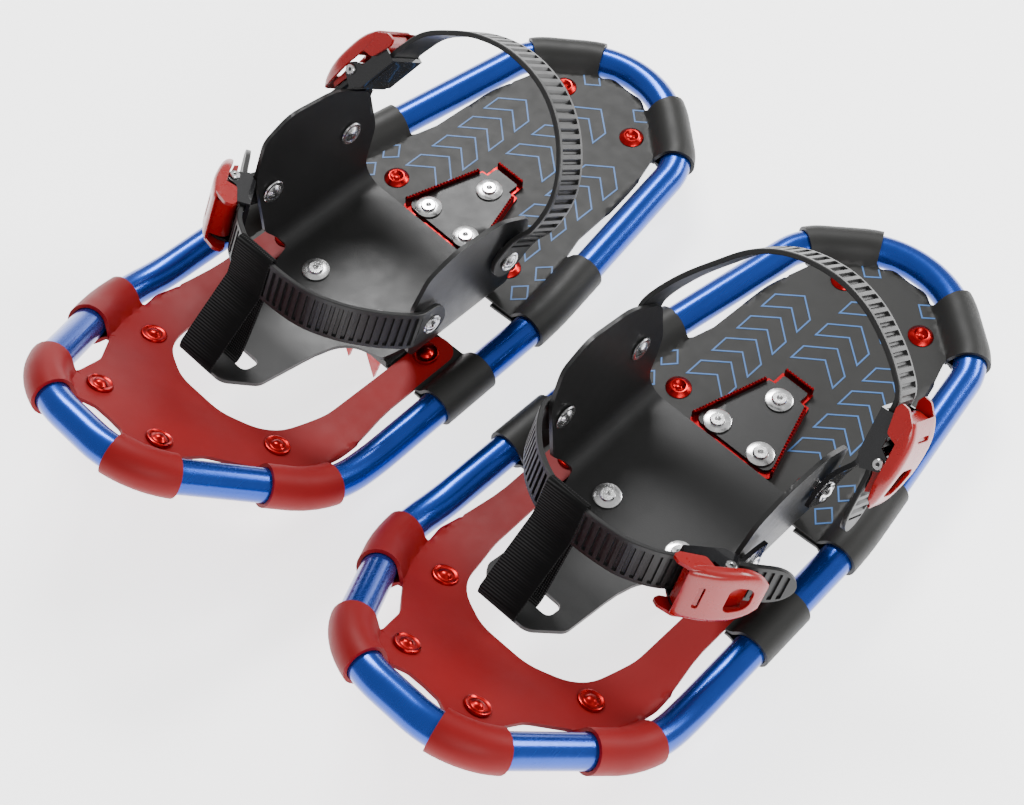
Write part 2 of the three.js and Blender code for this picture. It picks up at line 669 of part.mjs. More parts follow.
const snowshoe = (foot, side) => {
  const shoe = new THREE.Group();
  const add = (name, shape, finish, parent = shoe) => addNode(parent, `${foot}_${name}`, shape, finish);

  add("frame_tube", frameTube, BLUE_ALUMINIUM);
  add("rear_deck", drill(rearDeck(), HEEL_RIVETS, RIVET_HOLE, -5, 5), BLACK_SHEET);
  add("front_deck", frontDeck(), RED_SHEET);
  add("pivot_wrap_left", pivotWrap(1), BLACK_SHEET);
  add("pivot_wrap_right", pivotWrap(-1), BLACK_SHEET);
  add("heel_plate", drill(heelPlate(), HEEL_RIVETS, RIVET_HOLE, 0, 5), RED_STEEL);
  add("heel_pad", heelPad(), BLACK_PLASTIC);
  add("heel_crampon", drill(heelCrampon(), HEEL_RIVETS, RIVET_HOLE, -5, 0), RED_STEEL);
  HEEL_RIVETS.forEach(([x, y], index) => {
    const seat = HEEL_PAD.bottom + HEEL_PAD.thick + GAP;
    add(`heel_rivet_${index + 1}`, rivet(WASHER_RADIUS, 4, 7.5).translate(x, y, seat), STEEL);
  });

  add("binding_base", bindingBase(), BLACK_PLASTIC);
  add("pivot_band", pivotBand(), BLACK_SHEET);
  add("toe_crampon", toeCrampon(), RED_STEEL);
  BASE_RIVETS.forEach(([x, y], index) => {
    const seat = BASE.bottom + BASE.thick + GAP;
    add(`base_rivet_${index + 1}`, rivet(WASHER_RADIUS, 4, 11).translate(x, y, seat), STEEL);
  });
  add("tongue_webbing", webbingLower(), WEBBING);
  for (const [end, pivot] of [["toe", TOE_PIVOT], ["heel", HEEL_PIVOT]]) {
    for (const [place, direction] of [["outer", side], ["inner", -side]]) {
      add(`${end}_rivet_${place}`, wingRivet(direction).translate(0, pivot.y, pivot.z), STEEL);
    }
  }

  const toe = strapGroup(shoe, TOE_PIVOT, true);
  const toeTail = [[16, -6.8], [30, -5], [44, -4.4], [60, -3.5]];
  const toeLine = ladderLine(TOE_LOOP, TOE_BUCKLE, side, [[22, 57.2], [34, 51.8]], toeTail);
  add("toe_strap", ladderStrap(toeLine, side, 40), BLACK_PLASTIC, toe);
  add("toe_strap_webbing", webbingUpper(), WEBBING, toe);
  const toeLink = [[66.5, -9], [66.5, 0], [66.9, 8], [66.6, 15.5]];
  add("toe_buckle", buckleBody(TOE_BUCKLE, side, toeLink), BLACK_STEEL, toe);
  add("toe_lever", leverBody(TOE_BUCKLE, side), RED_PLASTIC, toe);
  add("toe_release", releaseBody(TOE_BUCKLE, side), RED_PLASTIC, toe);

  const heel = strapGroup(shoe, HEEL_PIVOT, false);
  const heelTail = [[16, -6.9], [22, -6.1], [26, -4.7], [30, -3.4], [40, -3.2], [66, -3.2]];
  const heelLine = ladderLine(HEEL_LOOP, HEEL_BUCKLE, side, [[22, 95.5], [40, 87], [54, 77]], heelTail);
  add("heel_strap", ladderStrap(heelLine, side, 46), BLACK_PLASTIC, heel);
  const heelLink = [[66.5, -9], [66.5, 0], [67.8, 14], [71.6, 26]];
  add("heel_buckle", buckleBody(HEEL_BUCKLE, side, heelLink), BLACK_STEEL, heel);
  add("heel_lever", leverBody(HEEL_BUCKLE, side), RED_PLASTIC, heel);
  add("heel_release", releaseBody(HEEL_BUCKLE, side), RED_PLASTIC, heel);
  return shoe;
};

const pair = new THREE.Group();
const rightShoe = snowshoe("right", -1);
const leftShoe = snowshoe("left", 1);
leftShoe.position.set(PAIR_SPACING, PAIR_STAGGER, 0);
leftShoe.rotation.z = LEFT_YAW;
pair.add(rightShoe, leftShoe);

pair.updateMatrixWorld(true);
const bounds = new THREE.Box3().setFromObject(pair, true);
const middle = bounds.getCenter(new THREE.Vector3());
pair.position.set(-middle.x, -middle.y, -bounds.min.z);
pair.updateMatrixWorld(true);

export default pair;
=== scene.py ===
import json
import math

import bmesh
import bpy
import numpy as np
from mathutils import Matrix, Vector
from mathutils.geometry import delaunay_2d_cdt


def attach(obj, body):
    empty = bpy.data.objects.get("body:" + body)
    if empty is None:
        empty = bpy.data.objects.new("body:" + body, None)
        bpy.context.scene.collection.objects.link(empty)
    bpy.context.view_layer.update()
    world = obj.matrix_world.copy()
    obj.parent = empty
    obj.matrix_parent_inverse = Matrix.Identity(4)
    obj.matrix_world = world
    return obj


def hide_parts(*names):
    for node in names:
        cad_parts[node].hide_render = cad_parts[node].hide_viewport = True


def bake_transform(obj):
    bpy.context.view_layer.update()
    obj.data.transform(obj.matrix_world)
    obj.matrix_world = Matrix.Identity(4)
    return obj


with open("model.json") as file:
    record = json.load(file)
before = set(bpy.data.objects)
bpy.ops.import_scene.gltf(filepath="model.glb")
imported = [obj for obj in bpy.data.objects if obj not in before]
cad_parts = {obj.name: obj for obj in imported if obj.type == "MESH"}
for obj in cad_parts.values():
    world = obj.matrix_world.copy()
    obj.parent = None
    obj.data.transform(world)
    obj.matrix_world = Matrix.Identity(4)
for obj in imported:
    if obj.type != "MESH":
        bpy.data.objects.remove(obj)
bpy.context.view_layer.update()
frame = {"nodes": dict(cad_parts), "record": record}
joints = {joint["name"]: joint for joint in frame["record"]["behaviour"]["joints"]}

MM = 0.001
TUBE_RADIUS = 9.5
TOE_BEND = {"start": -136.4, "radius": 111.3, "angle": math.radians(34.1)}
PIVOT_Y = -80.0
BASE = {"bottom": 4.0, "thick": 2.5, "fold": 45.5, "fold_radius": 13.0}
WING_ANGLE = math.radians(84)
TONGUE_CURL = {"start": -105.0, "radius": 126.0, "angle": 0.27}
TOE_PIVOT = {"y": -83.0, "z": 46.0}
HEEL_PIVOT = {"y": -23.0, "z": 48.0}
STRAP_PLANES = {"toe": (TOE_PIVOT, math.pi - math.radians(22)), "heel": (HEEL_PIVOT, math.radians(51.6))}
BUCKLES = {
    "toe": {"axle": (56.3, 41.2), "along": (0.631, -0.776), "second": 18, "reach": 41, "hump": 10.5},
    "heel": {"axle": (73.1, 56), "along": (0.264, -0.965), "second": 21.8, "reach": 47, "hump": 11.5},
}
HEEL_LEAN = {"most": 13, "height": 72}
HEEL_RIVETS = [(-15.4, -4.0), (15.4, -4.0), (0.0, 31.0)]
BASE_RIVETS = [(-25.5, -84.0), (25.5, -84.0)]


# ---------------------------------------------------------------- node materials


def new_material(name, color, roughness, metallic=0.0, **sockets):
    """A Principled material, its constant values on the shader's own sockets."""
    material = bpy.data.materials.new(name)
    material.use_nodes = True
    shader = material.node_tree.nodes["Principled BSDF"]
    shader.inputs["Base Color"].default_value = (*color, 1)
    shader.inputs["Roughness"].default_value = roughness
    shader.inputs["Metallic"].default_value = metallic
    for socket, value in sockets.items():
        shader.inputs[socket.replace("_", " ")].default_value = value
    return material, shader


def add_node(material, kind, **inputs):
    node = material.node_tree.nodes.new(kind)
    for name, value in inputs.items():
        node.inputs[name.replace("_", " ")].default_value = value
    return node


def link(material, output, target):
    material.node_tree.links.new(output, target)


def noise(material, scale, detail=3.0, stretch=(1, 1, 1)):
    """Noise over the piece's own coordinates; scale is in cycles per metre."""
    coordinates = add_node(material, "ShaderNodeTexCoord")
    mapping = add_node(material, "ShaderNodeMapping", Scale=stretch)
    texture = add_node(material, "ShaderNodeTexNoise", Scale=scale, Detail=detail)
    link(material, coordinates.outputs["Object"], mapping.inputs["Vector"])
    link(material, mapping.outputs["Vector"], texture.inputs["Vector"])
    return texture.outputs["Fac"]


def ramp(material, value, stops):
    """A colour ramp through (position, colour or grey) stops."""
    node = add_node(material, "ShaderNodeValToRGB")
    link(material, value, node.inputs["Fac"])
    elements = node.color_ramp.elements
    while len(elements) < len(stops):
        elements.new(0.5)
    for element, (position, color) in zip(elements, stops):
        element.position = position
        element.color = (*color, 1) if hasattr(color, "__len__") else (color, color, color, 1)
    return node.outputs["Color"]


def bump(material, shader, height, depth_mm, strength=1.0):
    node = add_node(material, "ShaderNodeBump", Strength=strength, Distance=depth_mm * MM)
    link(material, height, node.inputs["Height"])
    if shader.inputs["Normal"].is_linked:
        link(material, shader.inputs["Normal"].links[0].from_socket, node.inputs["Normal"])
    link(material, node.outputs["Normal"], shader.inputs["Normal"])


def shaded(color, amount):
    return tuple(channel * amount for channel in color)


def grained_material(name, color, roughness, grain_mm, depth_mm, **sockets):
    """Moulded or coated surface: fine pebble grain, cloudy tone and slightly uneven gloss."""
    material, shader = new_material(name, color, roughness, **sockets)
    cloud = noise(material, 25, 4)
    link(material, ramp(material, cloud, [(0.3, shaded(color, 0.93)), (0.7, shaded(color, 1.07))]),
         shader.inputs["Base Color"])
    gloss = noise(material, 120, 3)
    link(material, ramp(material, gloss, [(0.3, roughness - 0.03), (0.7, roughness + 0.03)]),
         shader.inputs["Roughness"])
    bump(material, shader, noise(material, 1000 / grain_mm, 5), depth_mm)
    return material


def tube_material():
    """Blue anodised aluminium: drawn along its length, with a faint haze."""
    blue = (0.004, 0.05, 0.36)
    material, shader = new_material("anodised_blue", blue, 0.26, 0.8, Coat_Weight=0.4, Coat_Roughness=0.16)
    haze = noise(material, 60, 5)
    link(material, ramp(material, haze, [(0.3, shaded(blue, 0.95)), (0.72, shaded(blue, 1.06))]),
         shader.inputs["Base Color"])
    drawn = noise(material, 900, 2, (1, 0.04, 1))
    link(material, ramp(material, drawn, [(0.3, 0.24), (0.7, 0.28)]), shader.inputs["Roughness"])
    return material


def metal_material(name, color, roughness, scratch_mm=0.015):
    """Plated or turned metal with fine random scratches and smudges."""
    material, shader = new_material(name, color, roughness, 1.0)
    smudge = noise(material, 240, 4)
    link(material, ramp(material, smudge, [(0.35, shaded(color, 0.85)), (0.65, color)]),
         shader.inputs["Base Color"])
    link(material, ramp(material, smudge, [(0.3, roughness * 0.7), (0.7, roughness * 1.5)]),
         shader.inputs["Roughness"])
    bump(material, shader, noise(material, 1600, 3, (1, 0.15, 1)), scratch_mm)
    return material


def webbing_material():
    """Black nylon webbing: ribs across and yarns along, from the strip's own UV; its colour follows the
    weave's height, with painted shade in the grooves and a painted highlight on the crests.
    """
    dark = (0.012, 0.012, 0.012)
    material, shader = new_material("woven_black", dark, 0.9, Specular_IOR_Level=0.15)
    coordinates = add_node(material, "ShaderNodeTexCoord")
    waves = []
    for direction, scale in (("X", 2.4), ("Y", 1.9)):
        wave = add_node(material, "ShaderNodeTexWave", Scale=scale, Distortion=0.6, Detail=2.0)
        wave.bands_direction = direction
        link(material, coordinates.outputs["UV"], wave.inputs["Vector"])
        waves.append(wave.outputs["Fac"])
    both = add_node(material, "ShaderNodeMath")
    both.operation = "MULTIPLY"
    link(material, waves[0], both.inputs[0])
    link(material, waves[1], both.inputs[1])
    # painted shade and highlight: the weave's low grooves are darkened and its raised crests lightened,
    # following the bump height
    link(material, ramp(material, both.outputs[0], [(0.1, shaded(dark, 0.15)), (0.8, shaded(dark, 2.6))]),
         shader.inputs["Base Color"])
    bump(material, shader, both.outputs[0], 0.35)
    return material


RED = (0.19, 0.002, 0.003)
BLACK = (0.012, 0.012, 0.012)
materials = {
    "tube": tube_material(),
    "black_deck": grained_material("deck_black", (0.016, 0.016, 0.015), 0.5, 0.5, 0.06,
                                   Specular_IOR_Level=0.3),
    "red_deck": grained_material("deck_red", RED, 0.5, 0.5, 0.05, Specular_IOR_Level=0.2),
    "harness": grained_material("harness_black", BLACK, 0.38, 0.45, 0.05, Specular_IOR_Level=0.35),
    "strap": grained_material("strap_black", (0.010, 0.010, 0.010), 0.4, 0.6, 0.03, Specular_IOR_Level=0.4),
    "red_plastic": grained_material("lever_red", (0.27, 0.002, 0.002), 0.28, 3.0, 0.02, Coat_Weight=0.15),
    "webbing": webbing_material(),
    "silver": metal_material("plated_steel", (0.82, 0.82, 0.82), 0.22),
    "black_steel": grained_material("buckle_black", (0.008, 0.008, 0.009), 0.16, 2.0, 0.02, Coat_Weight=0.6),
    "red_steel": metal_material("crampon_red", (0.3, 0.008, 0.012), 0.36),
    "red_rivet": metal_material("rivet_red", (0.42, 0.012, 0.014), 0.28),
    "print": grained_material("print_blue", (0.03, 0.13, 0.36), 0.5, 0.6, 0.01),
}


# ---------------------------------------------------------------- shapes in the flat


def round_corners(corners, closed=True, step=math.radians(9)):
    """Corners (x, y, radius) to points, with an arc at each corner that has a radius."""
    points = []
    count = len(corners)
    for index, corner in enumerate(corners):
        here = np.array(corner[:2], float)
        radius = corner[2] if len(corner) > 2 else 0
        is_end = not closed and index in (0, count - 1)
        if radius == 0 or is_end:
            points.append(here)
            continue
        before = np.array(corners[index - 1][:2], float) - here
        after = np.array(corners[(index + 1) % count][:2], float) - here
        before /= np.linalg.norm(before)
        after /= np.linalg.norm(after)
        half = math.acos(max(-1, min(1, before @ after))) / 2
        bisector = (before + after) / np.linalg.norm(before + after)
        centre = here + bisector * radius / math.sin(half)
        first = here + before * radius / math.tan(half) - centre
        last = here + after * radius / math.tan(half) - centre
        turn = math.atan2(first[0] * last[1] - first[1] * last[0], first @ last)
        steps = max(1, math.ceil(abs(turn) / step))
        for part in range(steps + 1):
            angle = turn * part / steps
            cos, sin = math.cos(angle), math.sin(angle)
            points.append(centre + (first[0] * cos - first[1] * sin, first[0] * sin + first[1] * cos))
    return np.array(points)


def both_sides(half):
    """The whole outline from its right half, which starts and ends on the centre line."""
    mirrored = [(-x, y, *radius) for x, y, *radius in half if x > 0]
    return list(half) + mirrored[::-1]


def circle(x, y, radius, sides=16):
    angles = np.arange(sides) * 2 * math.pi / sides
    return np.column_stack([x + radius * np.cos(angles), y + radius * np.sin(angles)])


def densify(outline, spacing):
    """Adds points so that no edge of a closed outline is longer than spacing."""
    points = []
    for here, ahead in zip(outline, np.roll(outline, -1, axis=0)):
        steps = max(1, math.ceil(np.linalg.norm(ahead - here) / spacing))
        points.extend(here + (ahead - here) * part / steps for part in range(steps))
    return np.array(points)


def inside(points, outline):
    """Even-odd test of points against a closed outline."""
    x, y = points[:, 0], points[:, 1]
    result = np.zeros(len(points), bool)
    for (ax, ay), (bx, by) in zip(outline, np.roll(outline, -1, axis=0)):
        crosses = (ay > y) != (by > y)
        with np.errstate(divide="ignore", invalid="ignore"):
            result ^= crosses & (x < (bx - ax) * (y - ay) / (by - ay) + ax)
    return result


def fill(outline, holes=(), spacing=4.0):
    """Even triangles inside an outline: returns (points, triangles)."""
    loops = [densify(np.asarray(loop, float), spacing) for loop in (outline, *holes)]
    low, high = loops[0].min(0), loops[0].max(0)
    columns = np.arange(low[0], high[0], spacing)
    rows = np.arange(low[1], high[1], spacing * 0.87)
    grid = np.array([(x + (index % 2) * spacing / 2, y) for index, y in enumerate(rows) for x in columns])
    border = np.vstack(loops)
    keep = inside(grid, loops[0])
    for hole in loops[1:]:
        keep &= ~inside(grid, hole)
    grid = grid[keep]
    distance = np.linalg.norm(grid[:, None] - border[None], axis=2).min(1)
    grid = grid[distance > spacing * 0.55]
    edges = []
    start = 0
    for loop in loops:
        edges += [(start + i, start + (i + 1) % len(loop)) for i in range(len(loop))]
        start += len(loop)
    every = [Vector(point) for point in np.vstack([border, grid])]
    points, _, triangles, *_ = delaunay_2d_cdt(every, edges, [], 0, 1e-4)
    points = np.array(points)
    triangles = np.array(triangles)
    middle = points[triangles].mean(1)
    keep = inside(middle, loops[0])
    for hole in loops[1:]:
        keep &= ~inside(middle, hole)
    return points, triangles[keep]


def catmull(points, count):
    """A smooth line through control points, as three's SplineCurve draws it."""
    control = np.asarray(points, float)
    t = np.linspace(0, len(control) - 1, count)
    index = np.minimum(t.astype(int), len(control) - 2)
    weight = (t - index)[:, None]
    p1, p2 = control[index], control[index + 1]
    p0 = control[np.maximum(index - 1, 0)]
    p3 = control[np.minimum(index + 2, len(control) - 1)]
    first = (p2 - p0) * 0.5
    second = (p3 - p1) * 0.5
    cubic = (2 * p1 - 2 * p2 + first + second) * weight**3
    square = (-3 * p1 + 3 * p2 - 2 * first - second) * weight**2
    return cubic + square + first * weight + p1


def even_steps(line, spacing):
    """The same line with points an even distance apart."""
    lengths = np.r_[0, np.cumsum(np.linalg.norm(np.diff(line, axis=0), axis=1))]
    marks = np.linspace(0, lengths[-1], max(2, int(round(lengths[-1] / spacing)) + 1))
    return np.column_stack([np.interp(marks, lengths, line[:, axis]) for axis in range(line.shape[1])])


# ---------------------------------------------------------------- bends


def curl(run, height, radius, angle):
    """Rolls a flat run up round an arc: how far along and how far up each point ends."""
    turn = np.clip(run / radius, 0, angle)
    rest = np.maximum(run - radius * angle, 0)
    along = np.minimum(run, 0) + (radius - height) * np.sin(turn) + rest * np.cos(turn)
    up = radius - (radius - height) * np.cos(turn) + rest * np.sin(turn)
    return along, up


def bend_toe(points):
    """Raises the flat frame's toe."""
    x, t, height = np.asarray(points, float).T
    along, up = curl(TOE_BEND["start"] - t, height, TOE_BEND["radius"], TOE_BEND["angle"])
    return np.column_stack([x, TOE_BEND["start"] - along, up])


def fold_base(points, height=0.0):
    """Folds the flat binding base: wings up at both sides, tongue curled up in front."""
    x, y = points.T
    across, up = curl(np.abs(x) - BASE["fold"], height, BASE["fold_radius"], WING_ANGLE)
    along, rise = curl(TONGUE_CURL["start"] - y, up, TONGUE_CURL["radius"], TONGUE_CURL["angle"])
    middle = BASE["bottom"] + BASE["thick"] / 2
    out = np.sign(x) * (BASE["fold"] + across)
    return np.column_stack([out, TONGUE_CURL["start"] - along, rise + middle])


# The frame tube's centre line in the flat: a closed loop, with its outward normals.
FRAME_HALF = [(0, -285), (38.5, -285, 46), (89, -181, 98), (85, -11, 250), (63.3, 129, 34), (20.7, 164.5, 57),
              (0, 164.5)]
half_line = even_steps(round_corners(FRAME_HALF, closed=False, step=math.radians(2)), 2.0)
frame_loop = np.vstack([half_line, (half_line * (-1, 1))[-2:0:-1]])
loop_tangent = np.roll(frame_loop, -1, axis=0) - np.roll(frame_loop, 1, axis=0)
loop_tangent /= np.linalg.norm(loop_tangent, axis=1)[:, None]
loop_normal = np.column_stack([loop_tangent[:, 1], -loop_tangent[:, 0]])


def beside_tube(t, offset):
    """The flat place at an offset outward from the right-hand centre line, at distance t."""
    index = int(np.argmin(np.abs(half_line[:, 1] - t)))
    return tuple(frame_loop[index] + loop_normal[index] * offset)


def wrap_height(offset, lift, reach, sheet):
    """How a sheet that leaves its plane `reach` inside the tube's centre line goes round the tube.

    Returns its offset outward, its height above the tube's middle, and its normal in that plane."""
    lean = math.acos(lift / reach)
    line = math.sqrt(reach**2 - lift**2)
    arc = 2 * (math.pi - lean)
    q = offset + reach
    slope_out, slope_up = line / reach, lift / reach
    angle = (math.pi - lean) - (q - line) / lift
    back = q - line - arc * lift
    zones = [q < 0, q < line, back < 0]
    out = np.select(zones, [offset, -reach + slope_out * q, lift * np.cos(angle)],
                    -lift * math.cos(lean) - slope_out * back)
    up = np.select(zones, [0 * q, slope_up * q, lift * np.sin(angle)],
                   np.minimum(-lift * math.sin(lean) + slope_up * back, -sheet))
    flap = up >= -sheet * 1.001
    normal_out = np.select(zones, [0 * q, -slope_up + 0 * q, np.cos(angle)],
                           np.where(flap, 0, -slope_up))
    normal_up = np.select(zones, [1 + 0 * q, slope_out + 0 * q, np.sin(angle)],
                          np.where(flap, -1, -slope_out))
    return out, up, normal_out, normal_up


def wrap_round_tube(points, height, layer=0.0, sheet=2.2, lift=TUBE_RADIUS + 1.4, reach=13.5):
    """Flat deck points to the bent frame, with what lies past the tube wrapped round it.

    layer is the distance from the middle of the sheet, so that its two faces can be drawn."""
    near = np.linalg.norm(points[:, None] - frame_loop[None], axis=2).argmin(1)
    base, normal, tangent = frame_loop[near], loop_normal[near], loop_tangent[near]
    along = ((points - base) * tangent).sum(1)
    offset = ((points - base) * normal).sum(1)
    out, up, normal_out, normal_up = wrap_height(offset, lift, reach, sheet)
    fade = np.clip((offset + reach + 30) / 30, 0, 1)
    place = base + tangent * along[:, None] + normal * (out + layer * normal_out)[:, None]
    rise = up + layer * normal_up + height * (1 - fade * fade * (3 - 2 * fade))
    return bend_toe(np.column_stack([place, rise]))


def from_strap_plane(end, points):
    """From a strap's own plane: x across, y outward from its rivets, z across its width."""
    pivot, turn = STRAP_PLANES[end]
    x, y, z = np.asarray(points, float).T
    cos, sin = math.cos(turn), math.sin(turn)
    return np.column_stack([x, pivot["y"] + y * cos - z * sin, pivot["z"] + y * sin + z * cos])


def lean(end, distance):
    """How far the heel loop leans sideways, and how fast, at a distance from its rivets."""
    most, height = (HEEL_LEAN["most"] / 2, HEEL_LEAN["height"]) if end == "heel" else (0, 1)
    turn = np.pi * np.clip(np.asarray(distance, float) / height, 0, 1)
    return most * (1 - np.cos(turn)), most * math.pi / height * np.sin(turn)


def buckle_place(end, side, along, outward):
    """A place beside the lever's axle: along the strap towards the wing, and outward from it."""
    buckle = BUCKLES[end]
    x, y = buckle["axle"]
    shift, slope = lean(end, y)
    way = np.array([side * buckle["along"][0] + slope * buckle["along"][1], buckle["along"][1]])
    way /= np.linalg.norm(way)
    out = side * np.array([-way[1], way[0]])
    along, outward = np.asarray(along, float), np.asarray(outward, float)
    place = np.multiply.outer(along, way) + np.multiply.outer(outward, out)
    return place + (side * x + shift, y)


def buckle_space(shoe, end):
    """Takes (along, outward) in the buckle's frame, and a height, to the shoe's space."""
    def to_space(points, height):
        plan = buckle_place(end, shoe.side, points[:, 0], points[:, 1])
        return from_strap_plane(end, np.column_stack([plan, np.full(len(points), height)]))
    return to_space


# ---------------------------------------------------------------- making objects


def make_mesh(name, points, faces):
    mesh = bpy.data.meshes.new(name)
    mesh.from_pydata([tuple(point) for point in points], [], [tuple(int(i) for i in face) for face in faces])
    mesh.validate()
    mesh.update()
    return mesh


def outward(mesh):
    work = bmesh.new()
    work.from_mesh(mesh)
    bmesh.ops.remove_doubles(work, verts=work.verts, dist=1e-4)
    bmesh.ops.recalc_face_normals(work, faces=work.faces)
    work.to_mesh(mesh)
    work.free()


def bevel(obj, width_mm, segments=2, angle=35):
    modifier = obj.modifiers.new("edges", "BEVEL")
    modifier.width = width_mm * MM
    modifier.segments = segments
    modifier.limit_method = "ANGLE"
    modifier.angle_limit = math.radians(angle)
    return obj


def sandwich(triangles, top, bottom):
    """A closed sheet from its two faces, which share their triangles, joined round every rim."""
    count = len(top)
    edges = np.vstack([triangles[:, [0, 1]], triangles[:, [1, 2]], triangles[:, [2, 0]]])
    _, index, uses = np.unique(np.sort(edges, axis=1), axis=0, return_index=True, return_counts=True)
    rim = edges[index[uses == 1]]
    faces = [tuple(face) for face in triangles]
    faces += [tuple(face[::-1] + count) for face in triangles]
    faces += [(b, a, a + count, b + count) for a, b in rim]
    return np.vstack([top, bottom]), faces


def prism(outline, to_space, low, high, holes=(), spacing=6.0):
    """A flat outline given thickness: to_space takes (points, height) to the shoe's space."""
    points, triangles = fill(outline, holes, spacing)
    return sandwich(triangles, to_space(points, high), to_space(points, low))


def swept(rings, capped=True):
    """Points and faces of a row of equal closed rings, with flat caps."""
    rows, sides = len(rings), len(rings[0])
    faces = grid_faces(rows, sides, not capped, True)
    if capped:
        faces += [tuple(range(sides)), tuple(range((rows - 1) * sides, rows * sides))[::-1]]
    return np.vstack(rings), faces


class Shoe:
    """One shoe's frame, worked out from its binding hinge, and the pieces placed in it."""

    def __init__(self, foot):
        pivot = joints[f"{foot}_binding_pivot"]
        across = Vector(pivot["axis"])
        along = Vector((0, 0, 1)).cross(across)
        self.foot = foot
        self.side = 1 if foot == "left" else -1
        self.matrix = Matrix((across, along, Vector((0, 0, 1)))).transposed().to_4x4()
        self.matrix.translation = Vector(pivot["pos_m"]) - along * PIVOT_Y * MM

    def place(self, points):
        world = np.array(self.matrix)
        return np.asarray(points, float) * MM @ world[:3, :3].T + world[:3, 3]

    def add(self, name, points, faces, material, body, replaces=(), slot=None, sharp=38):
        mesh = make_mesh(f"{self.foot}_{name}", self.place(points), faces)
        outward(mesh)
        obj = bpy.data.objects.new(f"{self.foot}_{name}", mesh)
        bpy.context.scene.collection.objects.link(obj)
        mesh.materials.append(materials[material])
        mesh.shade_smooth()
        mesh.set_sharp_from_angle(angle=math.radians(sharp))
        if body:
            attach(obj, f"{self.foot}_{body}")
        if replaces:
            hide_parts(*[f"{self.foot}_{node}" for node in replaces])
        return obj


def grid_faces(rows, columns, close_rows=False, close_columns=False):
    faces = []
    for row in range(rows if close_rows else rows - 1):
        for column in range(columns if close_columns else columns - 1):
            ahead, beside = (row + 1) % rows, (column + 1) % columns
            faces.append((row * columns + column, row * columns + beside,
                          ahead * columns + beside, ahead * columns + column))
    return faces


# ---------------------------------------------------------------- frame and decks


def frame_tube(shoe):
    sides = 32
    angles = np.arange(sides) * 2 * math.pi / sides
    rings = []
    for centre, normal in zip(frame_loop, loop_normal):
        ring = centre + np.outer(np.cos(angles) * TUBE_RADIUS, normal)
        rings.append(np.column_stack([ring, np.sin(angles) * TUBE_RADIUS]))
    faces = grid_faces(len(rings), sides, True, True)
    shoe.add("tube", bend_toe(np.vstack(rings)), faces, "tube", "frame", ["frame_tube"], "blue_tube")


TAB = 82.0  # length of a deck tab from the tube's centre line round and back under the sheet


def tab(t_from, t_to, corner=4.0):
    """Outline corners of a tab between two distances along the right-hand tube."""
    return [(*beside_tube(t_from, -14), corner), beside_tube(t_from, TAB), beside_tube(t_to, TAB),
            (*beside_tube(t_to, -14), corner)]


def sheet_piece(shoe, name, outline, height, material, body, replaces, slot, sheet=2.0, spacing=3.0):
    points, triangles = fill(outline, spacing=spacing)
    faces = [wrap_round_tube(points, height, layer) for layer in (sheet / 2, -sheet / 2)]
    return shoe.add(name, *sandwich(triangles, *faces), material, body, replaces, slot)


def rear_deck(shoe):
    half = [(0, 151.5), (12, 152, 10), *tab(158, 130), (57.5, 91, 60), (60, 46, 8),
            *tab(32, -25)[:3], (0, -25)]
    sheet_piece(shoe, "deck", round_corners(both_sides(half)), 0.0, "black_deck", "frame", ["rear_deck"],
                "black_deck")


def front_deck(shoe):
    half = [(0, -264), (10, -264.5, 6), *tab(-282.5, -262, 5), (43, -232, 14), *tab(-214.5, -175, 5),
            (77, -160, 12), (70.5, -120, 60), (70, -62, 9), (51, -62, 9), (50, -145, 40), (42, -181, 30),
            (16, -195, 30), (0, -195)]
    sheet_piece(shoe, "front_panel", round_corners(both_sides(half)), 0.8, "red_deck", "frame",
                ["front_deck"], "red_deck")


def pivot_straps(shoe):
    """The strap ends wrapped round the tube, from where they run on to the binding."""
    half_width, inner, wrap = 18, 47.9, TAB - 20
    for side, end in ((1, "left"), (-1, "right")):
        front, rear = PIVOT_Y - half_width, PIVOT_Y + half_width
        outline = np.array([(inner, front), beside_tube(front, wrap), beside_tube(rear, wrap), (inner, rear)])
        outline = (outline * (side, 1))[::side]
        strap = sheet_piece(shoe, f"pivot_strap_{end}", outline, -1.5, "black_deck", None,
                            [f"pivot_wrap_{end}"], "black_strap")
        start, stop = shoe.place([(side * 64, PIVOT_Y, 0), (side * 48, PIVOT_Y, 0)])
        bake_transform(strap)


def chevron(x, y, width, depth, arm):
    """Outline of a V that points to the tail."""
    return [(x - width, y - depth), (x, y), (x + width, y - depth),
            (x + width, y - depth - arm), (x, y - arm), (x - width, y - depth - arm)]


def deck_pattern(shoe):
    """Thin light-blue outlines printed on the rear deck, as plain chevrons and diamonds."""
    line_half, under, over = 0.45, 1.02, 1.16
    shapes = [chevron(side * 37, y, 13, 11, 12) for side in (-1, 1) for y in (34, 56, 78, 100)]
    shapes += [chevron(0, y, 15, 12, 11) for y in (84, 106, 128)]
    shapes += [[(side * 64, y - 7), (side * 70, y), (side * 64, y + 7), (side * 58, y)] for side in (-1, 1)
               for y in (-8, 12)]
    shapes += [[(side * 14, 142), (side * 21, 136), (side * 28, 142), (side * 21, 148)] for side in (-1, 1)]
    points, faces = [], []
    for shape in shapes:
        outline = np.array(shape, float)
        loops = [offset_loop(outline, line_half), offset_loop(outline, -line_half)]
        count = len(outline)
        start = len(points)
        for height in (under, over):
            points += [(x, y, height) for x, y in np.vstack(loops)]
        for index in range(count):
            ahead = (index + 1) % count
            low = [start + place for place in (index, ahead, count + ahead, count + index)]
            high = [place + 2 * count for place in low]
            faces += [high, low[::-1], (low[0], low[1], high[1], high[0]), (low[2], low[3], high[3], high[2])]
    shoe.add("deck_pattern", np.array(points), faces, "print", "frame")


